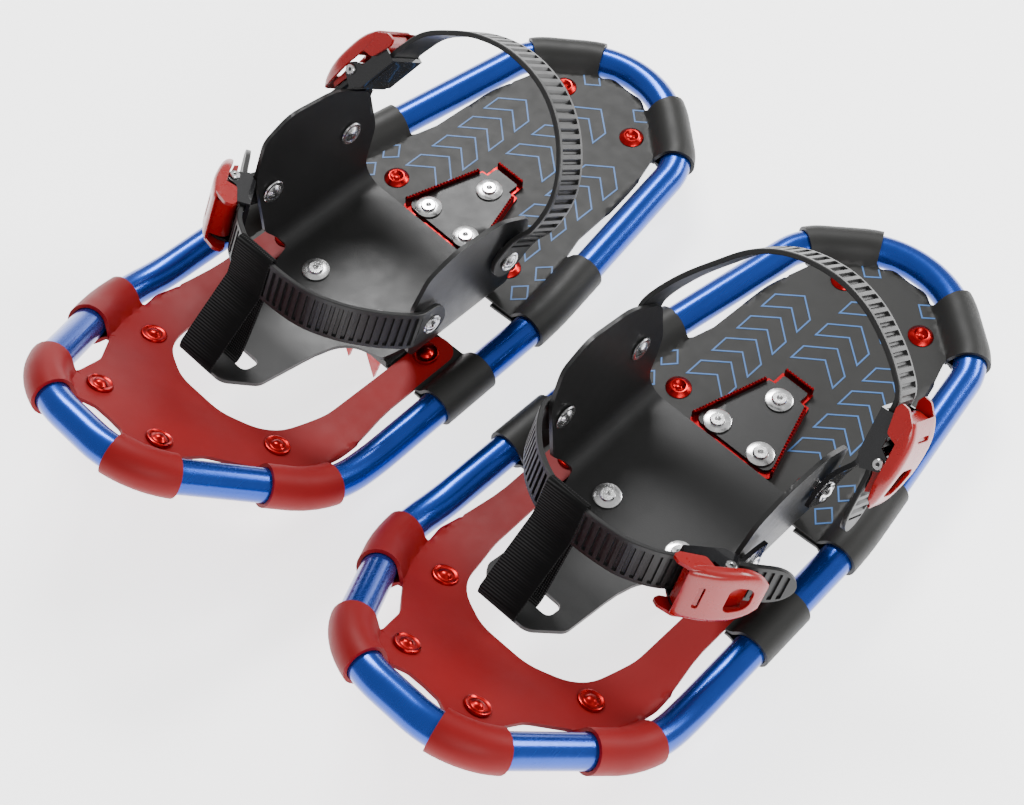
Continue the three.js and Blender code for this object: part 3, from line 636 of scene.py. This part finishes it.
def offset_loop(line, distance):
    """A closed polygon moved outward by a distance, with mitred corners."""
    before = line - np.roll(line, 1, axis=0)
    after = np.roll(line, -1, axis=0) - line
    normals = [np.column_stack([edge[:, 1], -edge[:, 0]]) / np.linalg.norm(edge, axis=1)[:, None]
               for edge in (before, after)]
    middle = normals[0] + normals[1]
    return line + middle * (2 * distance / (middle * middle).sum(1))[:, None]


def lathe(profile, sides=28):
    """Points and faces of a profile [(radius, height)] turned about z."""
    angles = np.arange(sides) * 2 * math.pi / sides
    rings = [np.column_stack([radius * np.cos(angles), radius * np.sin(angles), np.full(sides, height)])
             for radius, height in profile]
    return np.vstack(rings), grid_faces(len(profile), sides, False, True)


def turned(points, origin, normal):
    """Points about z moved so that z runs along normal from origin."""
    rotation = np.array(Vector((0, 0, 1)).rotation_difference(Vector(normal)).to_matrix())
    return points @ rotation.T + np.array(origin)


# Rivet heads as turned profiles, (radius, height) from the top down.
DISHED_RIVET = [(0, 1.1), (0.9, 1.2), (1.6, 0.8), (2.1, 0.5), (3.4, 1.3), (4.1, 2.2), (4.8, 2.3), (7.0, 1.0),
                (7.5, 0.4), (7.5, 0)]
DOMED_RIVET = [(0, 3.0), (1.6, 2.8), (2.9, 2.2), (3.7, 1.2), (4.3, 0.9), (5.6, 0.9), (6.6, 1.5), (7.1, 1.3),
               (7.5, 0.5), (7.5, 0)]


def deck_rivets(shoe):
    for index, (x, y) in enumerate([(-46.8, 0), (46.8, 0), (-28.3, 125), (28.3, 125)]):
        points, faces = lathe(DISHED_RIVET)
        shoe.add(f"deck_rivet_{index + 1}", points + (x, y, 1.0), faces, "red_rivet", "frame")
    lean = TOE_BEND["angle"]
    for index, (x, t) in enumerate([(-51.3, -184), (51.3, -184), (-24.1, -249.6), (24.1, -249.6)]):
        turn = min((TOE_BEND["start"] - t) / TOE_BEND["radius"], lean)
        origin = bend_toe([(x, t, 1.7)])[0]
        points, faces = lathe(DOMED_RIVET)
        shoe.add(f"toe_rivet_{index + 1}", turned(points, origin, (0, math.sin(turn), math.cos(turn))), faces,
                 "red_rivet", "frame")
    for index, x in enumerate((-58, 58)):
        points, faces = lathe(DOMED_RIVET)
        shoe.add(f"arm_rivet_{index + 1}", points + (x, -77, 1.7), faces, "red_rivet", "frame")


WASHER_RIVET = [(0, 1.0), (1.5, 1.0), (1.7, 2.9), (3.9, 2.9), (4.3, 2.5), (4.5, 1.5), (7.3, 1.2),
                (7.9, 0.9), (8, 0.1), (7.6, 0), (2.2, 0), (2.2, -4), (0, -4)]
WING_RIVET = [(0, 2.3), (1.5, 2.1), (3.0, 1.4), (4.0, 0.6), (4.4, 0.8), (5.6, 0.8), (6.1, 0.4), (6.1, 0),
              (2.2, 0), (2.2, -4.5), (0, -4.5)]
PIN_END = [(0, 0.5), (0.9, 0.6), (1.3, 1.2), (2.6, 1.2), (3.1, 0.7), (3.2, 0)]


def binding_rivets(shoe):
    """Washered rivets in the heel plate and the binding's floor, and domed ones in its wings."""
    points, faces = lathe(WASHER_RIVET)
    for index, (x, y) in enumerate(HEEL_RIVETS):
        shoe.add(f"heel_bolt_{index + 1}", points + (x, y, 4.4), faces, "silver", "frame",
                 [f"heel_rivet_{index + 1}"], "silver_steel")
    for index, (x, y) in enumerate(BASE_RIVETS):
        shoe.add(f"base_bolt_{index + 1}", points + (x, y, 6.6), faces, "silver", "binding",
                 [f"base_rivet_{index + 1}"], "silver_steel")
    points, faces = lathe(WING_RIVET)
    for end, pivot in (("toe", TOE_PIVOT), ("heel", HEEL_PIVOT)):
        inner = BASE["fold"] + BASE["fold_radius"] + (pivot["z"] - 17) * math.cos(WING_ANGLE) - 1.6
        for place, direction in (("outer", shoe.side), ("inner", -shoe.side)):
            heads = [turned(points * size, (direction * x, pivot["y"], pivot["z"]), (direction * way, 0, 0))
                     for x, way, size in ((68.6, 1, 1.0), (inner, -1, 1.2))]
            count = len(points)
            both = faces + [tuple(i + count for i in face) for face in faces]
            shoe.add(f"{end}_wing_rivet_{place}", np.vstack(heads), both, "silver", "binding",
                     [f"{end}_rivet_{place}"], "silver_steel")


# ---------------------------------------------------------------- heel plate


def upright(ax, ay, bx, by):
    """Takes (distance, height) on the plan line from a to b to the shoe's space."""
    way = np.array([bx - ax, by - ay]) / math.hypot(bx - ax, by - ay)
    side = np.array([way[1], -way[0]])

    def to_space(points, depth):
        plan = np.array([ax, ay]) + np.outer(points[:, 0], way) + side * depth
        return np.column_stack([plan, points[:, 1]])
    return to_space


def serrated(length, low, high, pitch=2.0, tooth=1.1):
    """Outline of a strip with a saw-toothed upper edge."""
    count = int(length / pitch)
    step = length / count
    edge = [(step * (index + part), height) for index in range(count)
            for part, height in ((0, high - tooth), (0.6, high))]
    return [(0, low), *edge, (length, high - tooth), (length, low)]


def heel_plate(shoe):
    half = [(0, -13), (29.5, -13, 3), (14.4, 40), (11, 40), (11, 48.4), (0, 48.4)]

    def level(points, height):
        return np.column_stack([points, np.full(len(points), height)])
    points, faces = prism(round_corners(both_sides(half)), level, 1.3, 2.5)
    plate = shoe.add("heel_plate", points, faces, "red_steel", "frame", ["heel_plate"], "red_steel")
    bevel(plate, 0.3)
    for index, line in enumerate([(14.8, 37, 29, -10), (-29, -10, -14.8, 37), (10, 48, -10, 48)]):
        length = math.hypot(line[2] - line[0], line[3] - line[1])
        points, faces = prism(np.array(serrated(length, 1.4, 7.7)), upright(*line), 0, 1.5)
        strip = shoe.add(f"heel_teeth_{index + 1}", points, faces, "red_steel", "frame")
        bevel(strip, 0.15, 1)
    half = [(0, -11), (27.3, -11, 5), (12.8, 38), (8.8, 38.6), (8.8, 46.2, 1.5), (0, 46.2)]
    points, faces = prism(round_corners(both_sides(half)), level, 2.8, 4.3)
    pad = shoe.add("heel_rest_pad", points, faces, "harness", "frame", ["heel_pad"], "black_plastic")
    bevel(pad, 0.5, 3)


# ---------------------------------------------------------------- binding base


def wing_run(z):
    """The flat distance from the middle of the base to height z on the folded wing."""
    arc_top = BASE["bottom"] + BASE["thick"] / 2 + BASE["fold_radius"] * (1 - math.cos(WING_ANGLE))
    return BASE["fold"] + BASE["fold_radius"] * WING_ANGLE + (z - arc_top) / math.sin(WING_ANGLE)


def binding_base(shoe):
    fold = BASE["fold"]
    wing = [(fold, -15), (wing_run(20), -14.5, 12), (wing_run(40), -4, 20), (wing_run(68), -5, 9),
            (wing_run(84), -28, 30), (wing_run(89), -62, 30), (wing_run(82), -82, 12),
            (wing_run(62), -92.5, 14), (wing_run(20), -93, 6), (fold + 12, -86, 3), (fold + 5, -84, 3),
            (fold, -99, 4)]
    left_wing = [(-x, y, *radius) for x, y, *radius in wing][::-1]
    centre, half, tip = -10, 28, -182
    tongue = [(centre + half + 6, -105, 20), (centre + half, -125, 60), (centre + half, -166, 8),
              (centre + 14, tip, 10), (centre - 14, tip, 10), (centre - half, -166, 8),
              (centre - half, -125, 60), (centre - half - 6, -105, 20)]
    outline = round_corners([*wing, *tongue, *left_wing])
    slot = round_corners([(-31, -167, 4), (6, -167, 4), (6, -155, 4), (-31, -155, 4)])
    holes = [circle(side * wing_run(pivot["z"]), pivot["y"], 3.1)
             for side in (-1, 1) for pivot in (TOE_PIVOT, HEEL_PIVOT)]
    points, faces = prism(outline, fold_base, -BASE["thick"] / 2, BASE["thick"] / 2, [slot, *holes], 3.0)
    base = shoe.add("harness", points, faces, "harness", "binding", ["binding_base"], "black_plastic", 50)
    bevel(base, 0.6, 3, 60)


# ---------------------------------------------------------------- straps and buckles

# Each strap's control points: plain side, far side up to the buckle, and tail past the lever's axle.
LOOPS = {
    "toe": ([(66.5, -11), (66.5, 0), (67.6, 12), (63.4, 22), (55, 34), (42, 47), (24, 56.8), (0, 59.5)],
            [(22, 57.2), (34, 51.8)], [(16, -6.8), (30, -5), (44, -4.4), (60, -3.5)]),
    "heel": ([(66.5, -11), (66.5, 0), (68.3, 15), (72, 28), (68, 48), (57.5, 67), (43, 84), (24, 95),
              (0, 99)],
             [(22, 95.5), (40, 87), (54, 77)],
             [(16, -6.9), (22, -6.1), (26, -4.7), (30, -3.4), (40, -3.2), (66, -3.2)]),
}
STRAP_STEP = 0.4
STRAP_HALF = 12.0
LEVER_STEP = 0.5
WALL_FACE = 14.7  # where a buckle's walls end, and its pins and the lever's cheeks begin


def ladder_line(end, side):
    """The strap's middle line: from the plain wing round, through the buckle and out as a tail."""
    near, far, tail = LOOPS[end]
    plain = [(-side * x + lean(end, y)[0], y) for x, y in near]
    far = [(side * x + lean(end, y)[0], y) for x, y in far]
    places = [(-12, -8), (2, -8), *tail]
    through = [buckle_place(end, side, along, outward) for along, outward in places]
    return even_steps(catmull([*plain, *far, *through], 900), STRAP_STEP)


def ladder_strap(shoe, end):
    """A moulded strap: flat inside, a border and a ladder of ribs outside, both ends rounded."""
    line = ladder_line(end, shoe.side)
    length = STRAP_STEP * (len(line) - 1)
    pitch, depth, high = (4.6, 1.5, 0.55) if end == "toe" else (5.4, 1.6, 0.72)
    low_at, high_at = (0.08, high) if end == "toe" else (0.3, high)
    parts = (0, low_at, high_at, high_at + 0.07, 1 - 0.07 * (end == "heel"))
    plain, plain_steps, blunt, pointed = 22.0, 24, 12.0, 16.0
    marks, ribs = [*np.linspace(0, plain, plain_steps)], [0.0] * plain_steps
    for start in np.arange(plain, length - 8, pitch):
        marks += [start + pitch * part for part in parts]
        ribs += [-depth, 0, 0, -depth, -depth]
    tail = np.linspace(marks[-1] + 0.4, length, 16)
    marks += [*tail]
    ribs += [0.0] * len(tail)
    marks = np.array(marks)
    steps = np.arange(len(line)) * STRAP_STEP
    place = np.column_stack([np.interp(marks, steps, line[:, axis]) for axis in (0, 1)])
    tangent = np.gradient(line, axis=0)
    tangent = np.column_stack([np.interp(marks, steps, tangent[:, axis]) for axis in (0, 1)])
    tangent /= np.linalg.norm(tangent, axis=1)[:, None]
    normal = np.column_stack([-tangent[:, 1], tangent[:, 0]]) * shoe.side
    rings = []
    for mark, point, out, rib in zip(marks, place, normal, ribs):
        run = min(mark, length - mark)
        taper = pointed if mark > length / 2 else blunt
        width = STRAP_HALF * math.sqrt(max(1 - max(0, 1 - run / taper) ** 2, 0.02))
        section = [(-1, 0.9), (-0.97, 1.4), (-0.8, 1.5), (-0.77, 1.5 + rib), (0.77, 1.5 + rib), (0.8, 1.5),
                   (0.97, 1.4), (1, 0.9), (1, -1.1), (0.97, -1.5), (-0.97, -1.5), (-1, -1.1)]
        ring = []
        for share, height in section:
            x, y = point + out * height
            ring.append((x, y, share * width))
        rings.append(from_strap_plane(end, ring))
    points, faces = swept(rings)
    shoe.add(f"{end}_ladder", points, faces, "strap", f"{end}_loop", [f"{end}_strap"], "black_plastic",
             30)


def lever_line(end):
    """The lever's back in the buckle's frame, evenly stepped: (along, outward) from hinge to tip."""
    reach, hump = BUCKLES[end]["reach"], BUCKLES[end]["hump"]
    control = [(-6.6, 6.8), (-4.2, 8.4), (3, hump - 0.7), (12, hump), (0.55 * reach, hump - 1),
               (reach - 6, 7.2), (reach, 4.6)]
    return even_steps(catmull(control, 300), LEVER_STEP)


def lever(shoe, end):
    """A moulded ratchet lever: a curved, hollow back with rounded sides, a slot and a finger window."""
    reach, hump = BUCKLES[end]["reach"], BUCKLES[end]["hump"]
    back = lever_line(end)
    length = LEVER_STEP * (len(back) - 1)
    steps = np.arange(len(back)) * LEVER_STEP
    tangent = np.gradient(back, axis=0)
    tangent /= np.linalg.norm(tangent, axis=1)[:, None]
    normal = np.column_stack([-tangent[:, 1], tangent[:, 0]])
    radius = 3.6
    along = back[:, 0]
    narrow = np.clip((along - 0.5 * reach) / (0.5 * reach), 0, 1)
    half_width = 16.8 - 6.5 * narrow**2
    under = np.interp(along, [-5, 2, 9, 0.42 * reach, 0.68 * reach, reach], [4, 3, 3.2, 3.2, 2.4, 2.6])
    wall = np.clip(back[:, 1] - under, 2.2, 14)
    flank = half_width - radius + radius * math.pi / 2 + np.maximum(wall - radius, 0)
    flank *= np.clip((length - steps) / 5, 0.35, 1) ** 0.35
    right = np.column_stack([steps, flank])[::3]
    outline = np.vstack([right, (right * (1, -1))[::-1]])

    def to_space(points, depth):
        q, s = points.T
        width = np.interp(q, steps, half_width) - radius
        out = np.column_stack([np.interp(q, steps, normal[:, axis]) for axis in (0, 1)])
        base = np.column_stack([np.interp(q, steps, back[:, axis]) for axis in (0, 1)])
        past = np.abs(s) - width
        turn = np.clip(past / radius, 0, math.pi / 2)
        drop = radius - (radius + depth) * np.cos(turn) + np.maximum(past - radius * math.pi / 2, 0)
        drop = np.where(np.abs(s) < width, -depth, drop)
        across = np.where(np.abs(s) < width, s, np.sign(s) * (width + (radius + depth) * np.sin(turn)))
        flat = base - out * drop[:, None]
        plan = buckle_place(end, shoe.side, flat[:, 0], flat[:, 1])
        return from_strap_plane(end, np.column_stack([plan, across]))

    near, far = np.interp([0.45 * reach, reach - 8], along, steps)
    window = round_corners([(near, -9, 4), (far, -7, 6), (far, 7, 6), (near, 9, 4)])
    slot = round_corners([(9, -7, 1.2), (12, -7, 1.2), (12, 7, 1.2), (9, 7, 1.2)])
    points, faces = prism(outline, to_space, -2.0, 0.0, [window, slot], 1.8)
    shell = shoe.add(f"{end}_lever_shell", points, faces, "red_plastic", f"{end}_lever_body",
                     [f"{end}_lever"], "red_plastic", 45)
    bevel(shell, 0.55, 3, 50)

    hub = round_corners([(-4.4, 6), (-5.9, -5.9, 5.6), (5.9, -5.9, 5.6), (4.4, hump - 1.6)])
    cheek = round_corners([(-12.5, -3, 1.5), (-11.5, 1.5, 3), (-4.5, 7.2, 3), (1, 7.4), (8, 4), (5, -3, 3),
                           (-9, -5, 2)])
    for name, outline, low, high in (("hub", hub, -11.5, 11.5), ("cheek_a", cheek, WALL_FACE, 16.7),
                                     ("cheek_b", cheek, -16.7, -WALL_FACE)):
        points, faces = prism(outline, buckle_space(shoe, end), low, high)
        bevel(shoe.add(f"{end}_lever_{name}", points, faces, "red_plastic", f"{end}_lever_body"), 0.5, 2)


def buckle_pins(shoe, end):
    """Silver ends of the two axles, proud of the buckle's walls."""
    second = BUCKLES[end]["second"]
    points, faces = lathe(PIN_END, 20)
    for index, along in enumerate((0, second)):
        x, y = buckle_place(end, shoe.side, along, 0)
        for face, way in (("a", 1), ("b", -1)):
            head = from_strap_plane(end, points * (1, way, way) + (x, y, way * WALL_FACE))
            shoe.add(f"{end}_pin_{index + 1}{face}", head, faces, "silver", f"{end}_loop")


def webbing(shoe):
    """One loop of webbing: through the tongue's slot, round its tip and round the toe strap."""
    def on_strap(distance, across):
        (_, y, z), = from_strap_plane("toe", [(0, distance, across)])
        return y, z
    rear = [on_strap(56.0, 12.9), on_strap(55.8, 0), on_strap(56.2, -12.6), on_strap(58.2, -14.0)]
    front = [on_strap(61.0, -12.6), on_strap(61.2, 0), on_strap(60.8, 12.4)]
    path = [(-158.4, 16.5), *rear, *front, (-178.8, 26), (-180.6, 21.5), (-178, 18.3), (-166, 14.1),
            (-161.5, 13.6)]
    corner = [3, *[3] * len(rear), *[3] * len(front), 4, 3, 3, 3, 2]
    ring = round_corners([(*place, radius) for place, radius in zip(path, corner)])
    line = even_steps(np.vstack([ring, ring[:1]]), 1.0)[:-1]
    tangent = np.roll(line, -1, axis=0) - np.roll(line, 1, axis=0)
    tangent /= np.linalg.norm(tangent, axis=1)[:, None]
    normal = np.column_stack([tangent[:, 1], -tangent[:, 0]])
    share = np.clip((line[:, 1] - 15) / 50, 0, 1)
    middle = -17 + 3 * share
    section = [(-13, 0), (-12.6, 0.75), (12.6, 0.75), (13, 0), (12.6, -0.75), (-12.6, -0.75)]
    rings = []
    for (y, z), (ny, nz), x in zip(line, normal, middle):
        rings.append([(x + across, y + ny * out, z + nz * out) for across, out in section])
    points, faces = swept(rings, capped=False)
    band = shoe.add("webbing", points, faces, "webbing", None, ["tongue_webbing", "toe_strap_webbing"],
                    "webbing")
    distance = np.repeat(np.arange(len(line)) * 1.0, len(section))
    across = np.tile([across for across, _ in section], len(line))
    layer = band.data.uv_layers.new(name="weave")
    corners = np.array([loop.vertex_index for loop in band.data.loops])
    uv = np.column_stack([across[corners], distance[corners]]) * 0.1
    layer.data.foreach_set("uv", uv.astype(np.float32).ravel())
    low, high = shoe.place([(-17, -160, 24), (-14, -140, 58)])
    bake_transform(band)


# ---------------------------------------------------------------- CAD nodes that stay


def dress_cad_nodes():
    """Node materials and rounded edges for the CAD nodes whose shape is right."""
    looks = {
        "heel_crampon": ("red_steel", 0.3), "toe_crampon": ("red_steel", 0.3),
        "pivot_band": ("black_deck", 0.5), "buckle": ("black_steel", 0.4), "release": ("red_plastic", 0.5),
    }
    for name, obj in frame["nodes"].items():
        if obj.hide_render:
            continue
        for key, (material, edge) in looks.items():
            if key in name:
                obj.data.materials.clear()
                obj.data.materials.append(materials[material])
                bevel(obj, edge, 2, 30)
                break


# ---------------------------------------------------------------- floor, lights and camera


SENSOR_MM = 36
IMAGE_WIDTH = 1024
FOCAL_PIXELS = 2127.18
CAMERA_ANGLES = (41.7253, 55.9416, 3.627)  # azimuth, elevation and roll, in degrees
CAMERA_DISTANCE = 1.1818
CAMERA_TARGET = Vector((0.1141, -0.0647, 0))  # from the right shoe's origin


def studio():
    right = joints["right_binding_pivot"]["pos_m"]
    origin = Vector((right[0], right[1] - PIVOT_Y * MM, right[2]))
    azimuth, elevation, roll = (math.radians(angle) for angle in CAMERA_ANGLES)
    forward = Vector((-math.sin(azimuth) * math.cos(elevation), math.cos(azimuth) * math.cos(elevation),
                      -math.sin(elevation)))
    right_axis = Vector((math.cos(azimuth), math.sin(azimuth), 0))
    up_axis = right_axis.cross(forward)
    across = right_axis * math.cos(roll) + up_axis * math.sin(roll)
    up = up_axis * math.cos(roll) - right_axis * math.sin(roll)
    camera = bpy.data.objects.new("camera", bpy.data.cameras.new("camera"))
    camera.data.sensor_width = SENSOR_MM
    camera.data.lens = SENSOR_MM * FOCAL_PIXELS / IMAGE_WIDTH
    camera.data.clip_end = 20
    camera.matrix_world = Matrix((across, up, -forward)).transposed().to_4x4()
    camera.matrix_world.translation = origin + CAMERA_TARGET - forward * CAMERA_DISTANCE
    bpy.context.scene.collection.objects.link(camera)
    bpy.context.scene.camera = camera

    size = 12
    mesh = make_mesh("floor", [(-size, -size, 0), (size, -size, 0), (size, size, 0), (-size, size, 0)],
                     [(0, 1, 2, 3)])
    floor = bpy.data.objects.new("floor", mesh)
    floor.location.z = -0.0005
    bpy.context.scene.collection.objects.link(floor)
    material, shader = new_material("floor_paper", (0.96, 0.96, 0.96), 0.9, Specular_IOR_Level=0.0)
    shader.inputs["Emission Color"].default_value = (1, 1, 1, 1)
    shader.inputs["Emission Strength"].default_value = 2.2
    bump(material, shader, noise(material, 300, 2), 0.02)
    mesh.materials.append(material)

    world = bpy.data.worlds.new("studio")
    world.use_nodes = True
    world.node_tree.nodes["Background"].inputs["Color"].default_value = (1, 1, 1, 1)
    world.node_tree.nodes["Background"].inputs["Strength"].default_value = 0.6
    bpy.context.scene.world = world
    lamps = [("key", (-1.1, 0.9, 1.6), 0.9, 44), ("fill", (1.5, -0.6, 1.3), 1.2, 24),
             ("back", (0.6, 1.6, 0.9), 0.8, 20)]
    for name, place, size, energy in lamps:
        light = bpy.data.lights.new(name, "AREA")
        light.shape = "RECTANGLE"
        light.size = size
        light.size_y = size * 0.5
        light.energy = energy
        lamp = bpy.data.objects.new(name, light)
        lamp.location = place
        aim = Vector((0, 0, 0.05)) - Vector(place)
        lamp.rotation_euler = aim.to_track_quat("-Z", "Y").to_euler()
        bpy.context.scene.collection.objects.link(lamp)


studio()
for foot in ("right", "left"):
    shoe = Shoe(foot)
    frame_tube(shoe)
    rear_deck(shoe)
    front_deck(shoe)
    pivot_straps(shoe)
    deck_pattern(shoe)
    deck_rivets(shoe)
    heel_plate(shoe)
    binding_base(shoe)
    binding_rivets(shoe)
    webbing(shoe)
    for end in ("toe", "heel"):
        ladder_strap(shoe, end)
        lever(shoe, end)
        buckle_pins(shoe, end)
dress_cad_nodes()
